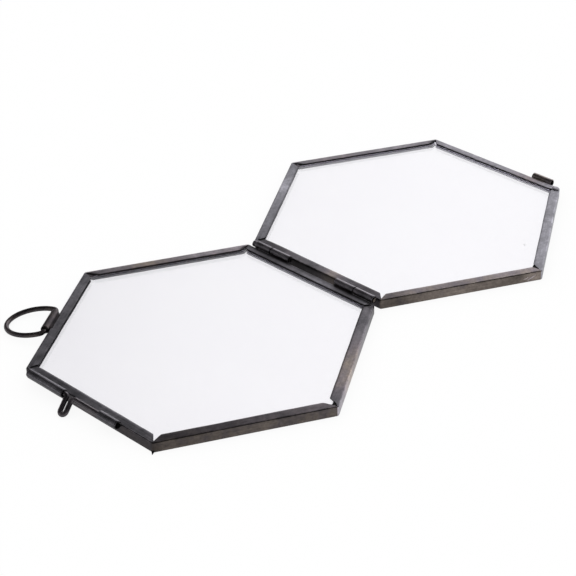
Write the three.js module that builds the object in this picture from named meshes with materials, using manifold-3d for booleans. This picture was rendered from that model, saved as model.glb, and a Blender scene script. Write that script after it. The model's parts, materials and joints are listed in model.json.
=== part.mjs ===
// A hexagonal floating photo frame: two glass leaves in folded metal channel, hinged along one side,
// with a hanging ring and a sliding wire latch. It lies open and flat. Millimetres, +Z up.
// The hinge runs along Y. The base leaf is at -X and carries the ring and the latch,
// the cover leaf is at +X and carries the catch.

import * as THREE from "three";
import { mergeVertices } from "three/addons/utils/BufferGeometryUtils.js";
import Module from "manifold-3d";

// Leaf: one hexagon, measured over its corners
const HEXAGON_SIDE = 70;
const GLASS_THICKNESS = 3;
const GLASS_PLAY = 0.25;
const GLASS_EDGE_GAP = 0.4;
const GLASS_CHAMFER = 0.3;

// Channel: folded sheet around the glass edge
const SHEET = 0.45;
const FLANGE_WIDTH = 4.2;
const FOLD_RADIUS = 0.5;
const CORNER_RADIUS = 1.2;
const SEAM_GAP = 0.3;
const NOTCH_START = 1.2;
const NOTCH_CUTBACK = 1.7;

// Tube and wire, one stock of each for hinge, ring and latch
const WIRE_DIAMETER = 2;
const TUBE_WALL = 0.4;
const WIRE_CLEARANCE = 0.3;
const SOLDER_GAP = 0.15;

// Hinge: two pairs of knuckles, each pair on its own short pin
const HINGE_RISE = 0.25;
const KNUCKLE_LENGTH = 10;
const KNUCKLE_GAP = 0.3;
const HINGE_END_INSET = 1.9;
const PIN_OVERHANG = 0.4;
const PIN_CHAMFER = 0.3;

// Hanging ring in its barrel, along the base leaf's upper left side
const RING_BARREL_LENGTH = 12.8;
const RING_OVERHANG = 3.4;
const RING_MIDDLE = 6.3;
const RING_DEPTH = 12;
const RING_BEND = 2.2;
const RING_BUTT_GAP = 0.4;
const RING_ALONG = 32.8;
const RING_RISE = -0.3;

// Latch: a wire bolt with a hairpin handle, sliding in two barrels along the base leaf's left side
const LATCH_RISE = 1;
const TAIL_BARREL_START = 4.5;
const TAIL_BARREL_LENGTH = 20.1;
const TAIL_LENGTH = 15.6;
const BOLT_TRAVEL = 12.8;
const BOLT_STOP_GAP = 0.4;
const HANDLE_REACH = 7.1;
const HANDLE_HALF_WIDTH = 1.4;
const HANDLE_LEAN = 1.5;
const HANDLE_TIP_BEND = 1.4;
const HANDLE_TAIL_BEND = 1.2;
const HANDLE_HEAD_BEND = 1.8;
const HEAD_BARREL_LENGTH = 10;
const HEAD_RECESS = 2;
const CATCH_GAP = 0.4;
const CATCH_LENGTH = 10;

// Ring and handle hang down until they nearly touch the surface below
const SURFACE_GAP = 0.1;

// Facets
const TUBE_STEPS = 12;
const WIRE_STEPS = 4;
const FOLD_STEPS = 2;
const CORNER_STEPS = 3;
const BEND_STEPS = 4;
const LOOP_STEPS = 28;
const PIN_STEPS = 16;

// Halvings when searching for a place on a curve
const HALVINGS = 40;

// How far a cutting solid runs past what it cuts
const PAST = 1;

// Sizes that follow
const CHANNEL_HEIGHT = GLASS_THICKNESS + 2 * GLASS_PLAY + 2 * SHEET;
const APOTHEM = HEXAGON_SIDE * Math.cos(Math.PI / 6);
const WIRE_RADIUS = WIRE_DIAMETER / 2;
const BORE_RADIUS = WIRE_RADIUS + WIRE_CLEARANCE;
const TUBE_RADIUS = BORE_RADIUS + TUBE_WALL;
const TUBE_OFFSET = TUBE_RADIUS + SOLDER_GAP;
const CATCH_RISE = 2 * HINGE_RISE - LATCH_RISE;
const HALF_CORNER_ANGLE = Math.PI / 3;

// Corners of a leaf, anticlockwise: its strips part at two of them and are notched at the rest
const Corner = { UPPER_RIGHT: 0, TOP: 1, UPPER_LEFT: 2, LOWER_LEFT: 3, BOTTOM: 4, LOWER_RIGHT: 5 };
const SEAM_CORNERS = [Corner.UPPER_LEFT, Corner.LOWER_RIGHT];
const NOTCH_CORNERS = [Corner.UPPER_RIGHT, Corner.TOP, Corner.LOWER_LEFT, Corner.BOTTOM];

const wasm = await Module();
wasm.setup();

const frameMetal = new THREE.MeshStandardMaterial({ color: 0x4a4748, roughness: 0.45, metalness: 0.9 });
const wireMetal = new THREE.MeshStandardMaterial({ color: 0x3f3c3b, roughness: 0.4, metalness: 0.9 });
const clearGlass = new THREE.MeshStandardMaterial({
  color: 0xeef1f5, roughness: 0.05, metalness: 0, transparent: true, opacity: 0.25,
});

// Joining and cutting

function toSolid(geometry) {
  const bare = geometry.clone();
  bare.deleteAttribute("normal");
  bare.deleteAttribute("uv");
  const merged = mergeVertices(bare);
  const vertProperties = new Float32Array(merged.attributes.position.array);
  const triVerts = new Uint32Array(merged.index.array);
  return new wasm.Manifold(new wasm.Mesh({ numProp: 3, vertProperties, triVerts }));
}

function toGeometry(solid) {
  const mesh = solid.getMesh();
  const geometry = new THREE.BufferGeometry();
  geometry.setAttribute("position", new THREE.BufferAttribute(new Float32Array(mesh.vertProperties), 3));
  geometry.setIndex(new THREE.BufferAttribute(new Uint32Array(mesh.triVerts), 1));
  return geometry;
}

function named(name, geometry, material) {
  geometry.computeVertexNormals();
  const mesh = new THREE.Mesh(geometry, material);
  mesh.name = name;
  return mesh;
}

// Hexagons, with two sides along Y. The upper right corner is at 30 degrees.

function hexagonCorner(index, inset = 0) {
  const reach = HEXAGON_SIDE - inset / Math.sin(HALF_CORNER_ANGLE);
  const angle = Math.PI / 6 + (index * Math.PI) / 3;
  return new THREE.Vector2(reach * Math.cos(angle), reach * Math.sin(angle));
}

function hexagonShape(inset, radius = 0) {
  const shape = new THREE.Shape();
  if (radius === 0) {
    shape.setFromPoints([0, 1, 2, 3, 4, 5].map((index) => hexagonCorner(index, inset)));
    return shape;
  }
  for (let index = 0; index < 6; index += 1) {
    const centre = hexagonCorner(index, inset + radius);
    const middle = Math.PI / 6 + (index * Math.PI) / 3;
    const start = middle - Math.PI / 6;
    const end = middle + Math.PI / 6;
    if (index === 0) {
      shape.moveTo(centre.x + radius * Math.cos(start), centre.y + radius * Math.sin(start));
    }
    shape.absarc(centre.x, centre.y, radius, start, end, false);
  }
  shape.closePath();
  return shape;
}

function prism(shape, low, high) {
  const geometry = new THREE.ExtrudeGeometry(shape, {
    depth: high - low, bevelEnabled: false, curveSegments: CORNER_STEPS,
  });
  return geometry.translate(0, 0, low);
}

function roundedPrism(shape, edge, height, steps) {
  const geometry = new THREE.ExtrudeGeometry(shape, {
    depth: height - 2 * edge, bevelEnabled: true, bevelSize: edge, bevelThickness: edge,
    bevelSegments: steps, curveSegments: CORNER_STEPS,
  });
  return geometry.translate(0, 0, edge);
}

// Channel strips: a hexagonal channel, notched at four corners and parted at the other two

function notchShape(index) {
  const apex = hexagonCorner(index, NOTCH_START);
  const inner = hexagonCorner(index, FLANGE_WIDTH);
  const sides = [index + 5, index + 1].map((neighbour) => {
    const along = hexagonCorner(neighbour % 6).sub(hexagonCorner(index)).normalize();
    return inner.clone().addScaledVector(along, NOTCH_CUTBACK);
  });
  const reach = 1 + PAST / FLANGE_WIDTH;
  const ends = sides.map((side) => apex.clone().lerp(side, reach));
  return new THREE.Shape([apex, ends[0], ends[1]]);
}

function hexagonChannel() {
  const outer = hexagonShape(FOLD_RADIUS, CORNER_RADIUS - FOLD_RADIUS);
  const inside = hexagonShape(SHEET, CORNER_RADIUS - SHEET);
  const block = toSolid(roundedPrism(outer, FOLD_RADIUS, CHANNEL_HEIGHT, FOLD_STEPS));
  const slot = toSolid(prism(inside, SHEET, CHANNEL_HEIGHT - SHEET));
  const window = toSolid(prism(hexagonShape(FLANGE_WIDTH), -PAST, CHANNEL_HEIGHT + PAST));
  let channel = block.subtract(slot).subtract(window);
  for (const index of NOTCH_CORNERS) {
    channel = channel.subtract(toSolid(prism(notchShape(index), -PAST, CHANNEL_HEIGHT + PAST)));
  }
  return channel;
}

function channelStrip(channel, side) {
  const across = 2 * HEXAGON_SIDE + 2 * PAST;
  const cutter = new THREE.BoxGeometry(across, across, CHANNEL_HEIGHT + 2 * PAST);
  cutter.translate(0, side * (across / 2 - SEAM_GAP / 2), CHANNEL_HEIGHT / 2);
  const seam = hexagonCorner(SEAM_CORNERS[1]).sub(hexagonCorner(SEAM_CORNERS[0]));
  cutter.rotateZ(Math.atan2(seam.y, seam.x));
  return toGeometry(channel.subtract(toSolid(cutter)));
}

function glassPane() {
  const inset = SHEET + GLASS_EDGE_GAP;
  const outline = hexagonShape(inset + GLASS_CHAMFER, CORNER_RADIUS);
  const geometry = roundedPrism(outline, GLASS_CHAMFER, GLASS_THICKNESS, 1);
  return geometry.translate(0, 0, SHEET + GLASS_PLAY);
}

function leaf(strips, glassName) {
  const group = new THREE.Group();
  const channel = hexagonChannel();
  group.add(named(strips.upper, channelStrip(channel, -1), frameMetal));
  group.add(named(strips.lower, channelStrip(channel, 1), frameMetal));
  group.add(named(glassName, glassPane(), clearGlass));
  return group;
}

// Tubes and pins, along local X and starting at its zero

function tube(length) {
  const shape = new THREE.Shape();
  shape.absarc(0, 0, TUBE_RADIUS, 0, 2 * Math.PI, false);
  const bore = new THREE.Path();
  bore.absarc(0, 0, BORE_RADIUS, 0, 2 * Math.PI, true);
  shape.holes.push(bore);
  const geometry = new THREE.ExtrudeGeometry(shape, {
    depth: length, bevelEnabled: false, curveSegments: TUBE_STEPS,
  });
  return geometry.rotateY(Math.PI / 2);
}

function pin(length) {
  const profile = [
    new THREE.Vector2(0, 0),
    new THREE.Vector2(WIRE_RADIUS - PIN_CHAMFER, 0),
    new THREE.Vector2(WIRE_RADIUS, PIN_CHAMFER),
    new THREE.Vector2(WIRE_RADIUS, length - PIN_CHAMFER),
    new THREE.Vector2(WIRE_RADIUS - PIN_CHAMFER, length),
    new THREE.Vector2(0, length),
  ];
  return new THREE.LatheGeometry(profile, PIN_STEPS).rotateZ(-Math.PI / 2);
}

// Bent wire: corners of a flat outline, each rounded to its own bend radius, swept with the wire's section

function bentOutline(corners) {
  const points = [corners[0].at];
  for (let index = 1; index < corners.length - 1; index += 1) {
    const { at, bend, steps } = corners[index];
    const back = corners[index - 1].at.clone().sub(at).normalize();
    const ahead = corners[index + 1].at.clone().sub(at).normalize();
    const half = Math.acos(THREE.MathUtils.clamp(back.dot(ahead), -1, 1)) / 2;
    const centre = at.clone().addScaledVector(back.clone().add(ahead).normalize(), bend / Math.sin(half));
    const start = at.clone().addScaledVector(back, bend / Math.tan(half)).sub(centre);
    const turn = (Math.PI - 2 * half) * -Math.sign(back.cross(ahead));
    for (let step = 0; step <= steps; step += 1) {
      const spoke = start.clone().rotateAround(new THREE.Vector2(), (turn * step) / steps);
      points.push(centre.clone().add(spoke));
    }
  }
  points.push(corners[corners.length - 1].at);
  return points;
}

class Polyline extends THREE.CurvePath {
  constructor(points) {
    super();
    for (let index = 1; index < points.length; index += 1) {
      this.add(new THREE.LineCurve3(points[index - 1], points[index]));
    }
    this.points = points;
  }

  getSpacedPoints() {
    return this.points;
  }

  getTangentAt(share) {
    const index = Math.round(share * (this.points.length - 1));
    const before = this.points[Math.max(index - 1, 0)];
    const after = this.points[Math.min(index + 1, this.points.length - 1)];
    return after.clone().sub(before).normalize();
  }
}

function arcPoints(x, y, radius, from, to, steps) {
  const points = [];
  for (let step = 0; step <= steps; step += 1) {
    const angle = THREE.MathUtils.lerp(from, to, step / steps);
    points.push(new THREE.Vector2(x + radius * Math.cos(angle), y + radius * Math.sin(angle)));
  }
  return points;
}

function wire(outline) {
  const points = outline.map((point) => new THREE.Vector3(point.x, point.y, 0));
  const section = new THREE.Shape();
  section.absarc(0, 0, WIRE_RADIUS, 0, 2 * Math.PI, false);
  return new THREE.ExtrudeGeometry(section, {
    steps: points.length - 1, extrudePath: new Polyline(points), curveSegments: WIRE_STEPS,
  });
}

// Hinge, along Y: inner knuckles on the base leaf, outer ones on the cover leaf

function hinge() {
  const group = new THREE.Group();
  group.position.z = CHANNEL_HEIGHT + HINGE_RISE;
  const outer = HEXAGON_SIDE / 2 - HINGE_END_INSET - KNUCKLE_LENGTH;
  const inner = outer - KNUCKLE_GAP - KNUCKLE_LENGTH;
  const pinLength = 2 * KNUCKLE_LENGTH + KNUCKLE_GAP + 2 * PIN_OVERHANG;
  for (const [end, turn] of [["far", Math.PI / 2], ["near", -Math.PI / 2]]) {
    const pair = new THREE.Group();
    pair.rotation.z = turn;
    const base = named(`base_knuckle_${end}`, tube(KNUCKLE_LENGTH), frameMetal);
    base.position.x = inner;
    const cover = named(`cover_knuckle_${end}`, tube(KNUCKLE_LENGTH), frameMetal);
    cover.position.x = outer;
    const shaft = named(`hinge_pin_${end}`, pin(pinLength), wireMetal);
    shaft.position.x = inner - PIN_OVERHANG;
    pair.add(base, cover, shaft);
    group.add(pair);
  }
  return group;
}

// Hanging ring: most of an ellipse, bent into a run through the barrel, where the wire's ends butt

function droop(height, reach) {
  return Math.asin((height - SURFACE_GAP - WIRE_RADIUS) / reach);
}

function ringLoop(angle) {
  const half = RING_BARREL_LENGTH / 2 + RING_OVERHANG;
  const at = new THREE.Vector2(half * Math.cos(angle), RING_MIDDLE + RING_DEPTH * Math.sin(angle));
  const outward = new THREE.Vector2(Math.cos(angle) / half, Math.sin(angle) / RING_DEPTH).normalize();
  return { at, outward };
}

// The bend that touches both the loop and the barrel's axis
function ringBend() {
  let below = -Math.PI / 3;
  let above = 0;
  for (let halving = 0; halving < HALVINGS; halving += 1) {
    const angle = (below + above) / 2;
    const { at, outward } = ringLoop(angle);
    if (at.y - RING_BEND * outward.y < RING_BEND) {
      below = angle;
    } else {
      above = angle;
    }
  }
  const { at, outward } = ringLoop(above);
  const x = at.x - RING_BEND * outward.x;
  return { x, loopAngle: above, bendAngle: Math.atan2(outward.y, outward.x) };
}

function hangingRing() {
  const { x, loopAngle, bendAngle } = ringBend();
  const quarter = Math.PI / 2;
  const points = [
    new THREE.Vector2(RING_BUTT_GAP / 2, 0),
    ...arcPoints(x, RING_BEND, RING_BEND, -quarter, bendAngle, BEND_STEPS),
  ];
  for (let step = 1; step < LOOP_STEPS; step += 1) {
    points.push(ringLoop(THREE.MathUtils.lerp(loopAngle, Math.PI - loopAngle, step / LOOP_STEPS)).at);
  }
  points.push(
    ...arcPoints(-x, RING_BEND, RING_BEND, Math.PI - bendAngle, Math.PI + quarter, BEND_STEPS),
    new THREE.Vector2(-RING_BUTT_GAP / 2, 0),
  );
  const ring = named("hanging_ring", wire(points), wireMetal);
  ring.rotation.x = -droop(CHANNEL_HEIGHT + RING_RISE, RING_MIDDLE + RING_DEPTH);
  return ring;
}

function ringSet() {
  const group = new THREE.Group();
  const start = hexagonCorner(Corner.UPPER_LEFT);
  const along = hexagonCorner(Corner.TOP).sub(start).normalize();
  const out = new THREE.Vector2(-along.y, along.x);
  const place = start.addScaledVector(along, RING_ALONG).addScaledVector(out, TUBE_OFFSET);
  group.position.set(place.x, place.y, CHANNEL_HEIGHT + RING_RISE);
  group.rotation.z = along.angle();
  const barrel = named("ring_barrel", tube(RING_BARREL_LENGTH), frameMetal);
  barrel.position.x = -RING_BARREL_LENGTH / 2;
  group.add(barrel, hangingRing());
  return group;
}

// Latch, along local X from the base leaf's upper left corner: local -Y points out of the leaf

const TAIL_BARREL_END = TAIL_BARREL_START + TAIL_BARREL_LENGTH;
const HANDLE_TAIL_LEG = TAIL_BARREL_END + BOLT_STOP_GAP + HANDLE_TAIL_BEND;
const HANDLE_HEAD_LEG = HANDLE_TAIL_LEG + 2 * HANDLE_HALF_WIDTH;
const HEAD_BARREL_START = HANDLE_HEAD_LEG + HANDLE_HEAD_BEND + BOLT_TRAVEL + BOLT_STOP_GAP;
const HEAD_BARREL_END = HEAD_BARREL_START + HEAD_BARREL_LENGTH;
const CATCH_START = HEAD_BARREL_END + CATCH_GAP;

function latchBolt() {
  const corner = (along, out, bend, steps) => ({ at: new THREE.Vector2(along, -out), bend, steps });
  const outline = bentOutline([
    corner(TAIL_BARREL_END - TAIL_LENGTH, 0),
    corner(HANDLE_TAIL_LEG, 0, HANDLE_TAIL_BEND, BEND_STEPS),
    corner(HANDLE_TAIL_LEG + HANDLE_LEAN, HANDLE_REACH, HANDLE_TIP_BEND, 2 * BEND_STEPS),
    corner(HANDLE_HEAD_LEG + HANDLE_LEAN, HANDLE_REACH, HANDLE_TIP_BEND, 2 * BEND_STEPS),
    corner(HANDLE_HEAD_LEG, 0, HANDLE_HEAD_BEND, BEND_STEPS),
    corner(HEAD_BARREL_END - HEAD_RECESS, 0),
  ]);
  const bolt = named("latch_bolt", wire(outline), wireMetal);
  bolt.rotation.x = droop(CHANNEL_HEIGHT + LATCH_RISE, HANDLE_REACH);
  return bolt;
}

function latchSet() {
  const group = new THREE.Group();
  const start = hexagonCorner(Corner.UPPER_LEFT);
  group.position.set(start.x - TUBE_OFFSET, start.y, CHANNEL_HEIGHT + LATCH_RISE);
  group.rotation.z = -Math.PI / 2;
  const tail = named("latch_tail_barrel", tube(TAIL_BARREL_LENGTH), frameMetal);
  tail.position.x = TAIL_BARREL_START;
  const head = named("latch_head_barrel", tube(HEAD_BARREL_LENGTH), frameMetal);
  head.position.x = HEAD_BARREL_START;
  group.add(tail, head, latchBolt());
  return group;
}

// Catch, on the cover leaf's far side: in line with the latch once the leaves are closed

function catchBarrel() {
  const start = hexagonCorner(Corner.UPPER_RIGHT);
  const barrel = named("catch_barrel", tube(CATCH_LENGTH), frameMetal);
  barrel.position.set(start.x + TUBE_OFFSET, start.y - CATCH_START, CHANNEL_HEIGHT + CATCH_RISE);
  barrel.rotation.z = -Math.PI / 2;
  return barrel;
}

// The whole frame, with its origin under the middle of its box

const baseLeaf = leaf({ upper: "base_hinge_channel", lower: "base_latch_channel" }, "base_glass");
baseLeaf.position.x = -(APOTHEM + TUBE_OFFSET);
baseLeaf.add(ringSet(), latchSet());

const coverLeaf = leaf({ upper: "cover_catch_channel", lower: "cover_hinge_channel" }, "cover_glass");
coverLeaf.position.x = APOTHEM + TUBE_OFFSET;
coverLeaf.add(catchBarrel());

const photoFrame = new THREE.Group();
photoFrame.add(baseLeaf, coverLeaf, hinge());
photoFrame.updateMatrixWorld(true);
const middle = new THREE.Box3().setFromObject(photoFrame, true).getCenter(new THREE.Vector3());
photoFrame.position.set(-middle.x, -middle.y, 0);

export default photoFrame;
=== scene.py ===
"""Hanging floating photo frame: detailed pieces, materials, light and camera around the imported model.

Shapes are worked out in millimetres and turned into metres when a mesh is made.
"""
import json
import math
from dataclasses import dataclass
from itertools import pairwise

import bpy
from mathutils import Matrix, Vector, noise


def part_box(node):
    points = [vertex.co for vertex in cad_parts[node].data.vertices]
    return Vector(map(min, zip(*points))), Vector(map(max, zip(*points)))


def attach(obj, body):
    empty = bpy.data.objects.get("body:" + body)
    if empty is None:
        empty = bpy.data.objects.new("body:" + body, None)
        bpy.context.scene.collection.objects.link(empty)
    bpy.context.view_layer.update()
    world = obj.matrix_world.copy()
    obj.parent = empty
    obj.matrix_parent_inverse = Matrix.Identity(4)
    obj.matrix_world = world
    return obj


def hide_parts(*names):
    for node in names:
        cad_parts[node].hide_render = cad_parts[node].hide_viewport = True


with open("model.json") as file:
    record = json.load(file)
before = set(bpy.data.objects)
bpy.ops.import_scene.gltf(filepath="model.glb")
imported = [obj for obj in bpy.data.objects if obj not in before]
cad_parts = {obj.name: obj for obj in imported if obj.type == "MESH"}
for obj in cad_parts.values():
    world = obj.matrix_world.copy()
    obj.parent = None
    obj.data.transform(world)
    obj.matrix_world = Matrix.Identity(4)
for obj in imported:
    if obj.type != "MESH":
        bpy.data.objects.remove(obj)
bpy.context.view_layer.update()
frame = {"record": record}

MM = 0.001
TINY = 1e-6
QUARTER = math.pi / 2
UP = Vector((0, 0, 1))
RIGHT = Vector((1, 0, 0))
NEARWARD = Vector((0, -1, 0))


def node_box(*names):
    """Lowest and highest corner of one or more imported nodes, in millimetres."""
    boxes = [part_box(name) for name in names]
    low = Vector([min(box[0][axis] for box in boxes) for axis in range(3)])
    high = Vector([max(box[1][axis] for box in boxes) for axis in range(3)])
    return low / MM, high / MM


def joint(name):
    """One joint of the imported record."""
    return next(entry for entry in frame["record"]["behaviour"]["joints"] if entry["name"] == name)


# Numbers and directions
WAVE_GAIN = 1.6
SEED_SPREAD = (7.31, 3.17)


def blend(first, second, share):
    return first + (second - first) * share


def clamp(value, most=1):
    return min(max(value, 0), most)


def fade(distance, length):
    """1 at no distance, easing to 0 at the given length."""
    share = clamp(1 - distance / length)
    return share * share * (3 - 2 * share)


def wave(along, length, seed):
    """Smooth unevenness between about -1 and 1 along a strip."""
    return WAVE_GAIN * noise.noise(Vector((along / length, seed * SEED_SPREAD[0], seed * SEED_SPREAD[1])))


def shares(count):
    """Even steps from 0 to 1, one more than the count."""
    return [step / count for step in range(count + 1)]


def turns(count):
    """Even steps of angle, once round."""
    return [2 * math.pi * step / count for step in range(count)]


def level_way(angle):
    """The level direction at an angle."""
    return Vector((math.cos(angle), math.sin(angle), 0))


# Folded channel
SHEET = 0.45
FLANGE_WIDTH = 4.2
BOTTOM_WIDTH = 3.4
FOLD_RADIUS = 0.4
CORNER_RADIUS = 1.2
ROLL_WIDTH = 0.85
ROLL_DROP = 0.19
EDGE_BEVEL = 0.05
BEVEL_ANGLE = math.radians(35)
SHALLOW_NOTCH = CORNER_RADIUS
DEEP_NOTCH = 0.8
CUT_FADE = 11.0

# Lapped seams, where one strip's ends wrap over the other's
SEAM_CUT = 0.9
SEAM_LIFT = 0.2
SEAM_DIP = 0.22
SEAM_LAP = 0.8
SEAM_WRAP = 1.6
SEAM_GAP = 0.2
LIFT_FADE = 5.0
TUCK_REACH = 0.8

# Hand-made unevenness
FLANGE_WAVE = 0.05
EDGE_WAVE = 0.06
WALL_WAVE = 0.06
WAVE_LENGTH = 22.0
EDGE_WAVE_LENGTH = 9.0
GROUND_GAP = 0.005
RAGGED = 0.12
RAGGED_PITCH = 1.9
RAGGED_ROW = 0.5
RAGGED_ONSET = 4
SIDE_SEED = 10

# Mesh fineness
ROLL_STEPS = 4
FLAT_STEPS = 5
FOLD_STEPS = 4
WALL_STEPS = 6
SIDE_STEPS = 60
CORNER_STEPS = 5
WRAP_STEPS = 3
TUBE_STEPS = 40
WIRE_STEPS = 24
BEND_STEPS = 10
LOOP_STEPS = 32

# Corners of a leaf, counted anticlockwise from the upper right, and the two ways round that the strips take
UPPER_RIGHT, TOP, UPPER_LEFT, LOWER_LEFT, BOTTOM, LOWER_RIGHT = range(6)
UPPER_PATH = (UPPER_LEFT, TOP, UPPER_RIGHT, LOWER_RIGHT)
LOWER_PATH = (LOWER_RIGHT, BOTTOM, LOWER_LEFT, UPPER_LEFT)
TURN = math.radians(60)
MITRE = math.tan(TURN / 2)
ARC_START = CORNER_RADIUS * MITRE
ARC_LENGTH = CORNER_RADIUS * TURN


@dataclass
class Notch:
    """A V cut in both flanges at a corner: how far each side is cut back, the share of that below, its start.

    The step is what the side before loses at once. The root is the inset up to which a dark fill of painted
    shade reaches into the notch, the fill how high above the pane it stands, and the tone how bright it is.
    """
    before: float
    after: float
    bottom: float = 1.0
    start: float = SHALLOW_NOTCH
    step: float = 0.0
    root: float = 0.0
    fill: float = 0.22
    tone: float = 0.012


@dataclass
class Patch:
    """Stains and wear, and painted light and shade, on a stretch of a side: its middle, its reach, what it
    does.
    """
    at: float
    reach: float
    flange: float = 1.0
    wall: float = 1.0
    warm: float = 0.0


@dataclass
class Look:
    """One side or round piece: shades of flange, wall and inside, how brown flange and wall are, its patches.

    A round piece has its flange's tone on top and its wall's below: painted light above, painted shade below.
    Warmth runs from 0 for cool grey over 0.5 for mauve to 1 for brown. The width is the top flange's, the
    roll says how much its inner edge is turned down, the rim how dark that edge is painted (painted shade),
    the fold how much lighter the fold is painted (a painted highlight), the shadow how dark the flange is
    painted toward the fold (painted shadow), the ends whether the rim is painted darker near both ends of the
    side (painted shade), and the foot how much lighter or darker a round piece is painted at its foot
    (painted light and shade).
    """
    flange: float
    wall: float
    inside: float
    warmth: tuple
    patches: tuple = ()
    width: float = FLANGE_WIDTH
    roll: float = 1.0
    rim_painted_shade: float = 1.0
    fold_highlight: float = 1.0
    shadow: float = 1.0
    painted_shade_ends: bool = False
    painted_foot_shading: float = 0.45

    def at(self, distance):
        """Flange shade, wall shade and the warmth of each at a distance along the side."""
        flange, wall = self.flange, self.wall
        warm, wall_warm = self.warmth
        for patch in self.patches:
            share = fade(abs(distance - patch.at), patch.reach)
            flange *= blend(1.0, patch.flange, share)
            wall *= blend(1.0, patch.wall, share)
            warm += patch.warm * share
            wall_warm += patch.warm * share
        return flange, wall, warm, wall_warm


@dataclass
class Leaf:
    """One glazed leaf: its body, the nodes of its strips and its pane, its notches, and its hexagon."""
    body: str
    upper: str
    lower: str
    glass: str
    notches: dict

    def __post_init__(self):
        low, high = node_box(self.upper, self.lower)
        middle = (low + high) / 2
        self.centre = Vector((middle.x, middle.y, 0))
        self.side = (high.x - low.x) / math.sqrt(3)
        self.height = high.z

    def corner(self, index):
        return self.centre + level_way(corner_angle(index)) * self.side

    def side_from(self, corners):
        """Where a side starts, the way along it, and the way to its right: inward on the strips' paths."""
        origin = self.corner(corners[0])
        along = (self.corner(corners[1]) - origin).normalized()
        return origin, along, Vector((along.y, -along.x, 0))


def corner_angle(index):
    return math.radians(30 + 60 * index)


BASE_NOTCHES = {
    TOP: Notch(1.2, 2.8, 0.6, DEEP_NOTCH, root=3.2, tone=0.09),
    UPPER_RIGHT: Notch(1.9, 0.5, 0.8, DEEP_NOTCH, root=2.3, tone=0.08),
    BOTTOM: Notch(1.9, 2.1, 1.0, DEEP_NOTCH, step=0.8, root=2.2, fill=0.6),
    LOWER_LEFT: Notch(1.7, 1.5),
}
COVER_NOTCHES = {
    TOP: Notch(1.3, 2.6, 0.6, DEEP_NOTCH, root=3.2, tone=0.16),
    UPPER_RIGHT: Notch(1.4, 1.2, 0.9, DEEP_NOTCH, root=1.7, tone=0.03),
    BOTTOM: Notch(2.4, 0.6, 0.0, root=4.0, fill=0.72),
    LOWER_LEFT: Notch(1.5, 1.6),
}
base = Leaf("base_leaf", "base_hinge_channel", "base_latch_channel", "base_glass", BASE_NOTCHES)
cover = Leaf("cover_leaf", "cover_catch_channel", "cover_hinge_channel", "cover_glass", COVER_NOTCHES)

# Looks of the three sides of each strip, in the order of its path. Their tones and patches are partly the
# patina's own colour and partly painted light and shade: walls and near sides darker, far sides lighter,
# and darker patches painted by the hinge tubes.
NARROW = 3.8
WIDE = 4.45
# How dark the inner edge of a flange is painted: painted shade for the dark gap under it
RIM_PAINTED_SHADE = 0.15
STRIP_LOOKS = {
    base.upper: (
        Look(0.29, 0.05, 0.05, (0.1, 0.3), [Patch(60, 18, flange=1.2)], 4.0, roll=0.0),
        Look(0.38, 0.08, 0.33, (0.4, 0.5),
             [Patch(26, 16, flange=1.12, warm=0.45), Patch(66, 26, flange=1.35)],
             4.0, rim_painted_shade=RIM_PAINTED_SHADE, painted_shade_ends=True),
        Look(0.265, 0.06, 0.47, (0.1, 0.3),
             [Patch(42, 14, flange=1.35), Patch(13, 14, flange=0.6), Patch(58, 14, flange=0.6)],
             NARROW, rim_painted_shade=RIM_PAINTED_SHADE, shadow=0.2),
    ),
    base.lower: (
        Look(0.267, 0.44, 0.2, (0.15, 0.2),
             [Patch(44, 26, flange=1.5, warm=0.75), Patch(2, 6, flange=0.65), Patch(0, 26, wall=0.5),
              Patch(0, 62, wall=0.55), Patch(32, 18, wall=0.8)], WIDE),
        Look(0.108, 0.07, 0.1, (0.45, 0.85),
             [Patch(4, 48, flange=2.2, wall=1.25), Patch(60, 16, wall=1.1, warm=0.2),
              Patch(70, 6, wall=0.55)], WIDE),
        Look(0.2, 0.036, 0.1, (0.1, 0.5),
             [Patch(24, 14, flange=1.15), Patch(56, 20, flange=0.9), Patch(35, 14, wall=2.2)], fold_highlight=2.0),
    ),
    cover.upper: (
        Look(0.335, 0.10, 0.13, (0.0, 0.2), [Patch(48, 20, flange=1.85), Patch(4, 16, flange=0.9)],
             roll=0.0, rim_painted_shade=0.6),
        Look(0.34, 0.2, 0.56, (0.25, 0.3), [Patch(20, 16, flange=1.08, warm=0.2)],
             3.6, rim_painted_shade=0.08, painted_shade_ends=True),
        Look(0.44, 0.3, 0.80, (0.1, 0.2), [Patch(12, 12, flange=1.15), Patch(54, 12, warm=0.45)],
             NARROW, rim_painted_shade=0.35),
    ),
    cover.lower: (
        Look(0.455, 0.36, 0.06, (0.0, 0.0),
             [Patch(60, 14, flange=1.12), Patch(3, 5, flange=0.9), Patch(68, 5, flange=0.85)]),
        Look(0.335, 0.117, 0.2, (0.7, 1.1),
             [Patch(6, 36, flange=1.2), Patch(49, 5, flange=0.8), Patch(66, 18, flange=0.62),
              Patch(4, 6, wall=1.6), Patch(12.5, 8, wall=0.75), Patch(38, 14, wall=1.25),
              Patch(67, 22, wall=0.55)]),
        Look(0.2, 0.03, 0.16, (0.25, 0.4),
             [Patch(28, 5, flange=1.5), Patch(36, 22, flange=1.2), Patch(8, 18, flange=0.6),
              Patch(62, 18, flange=0.6), Patch(46, 12, wall=0.45), Patch(27, 7, wall=1.7, warm=0.5)]),
    ),
}

# Meshes
SHADE_NAMES = ("tone", "inside", "cut", "warm", "heat", "edge")
UNDRAWN = (0, 0)


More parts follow.
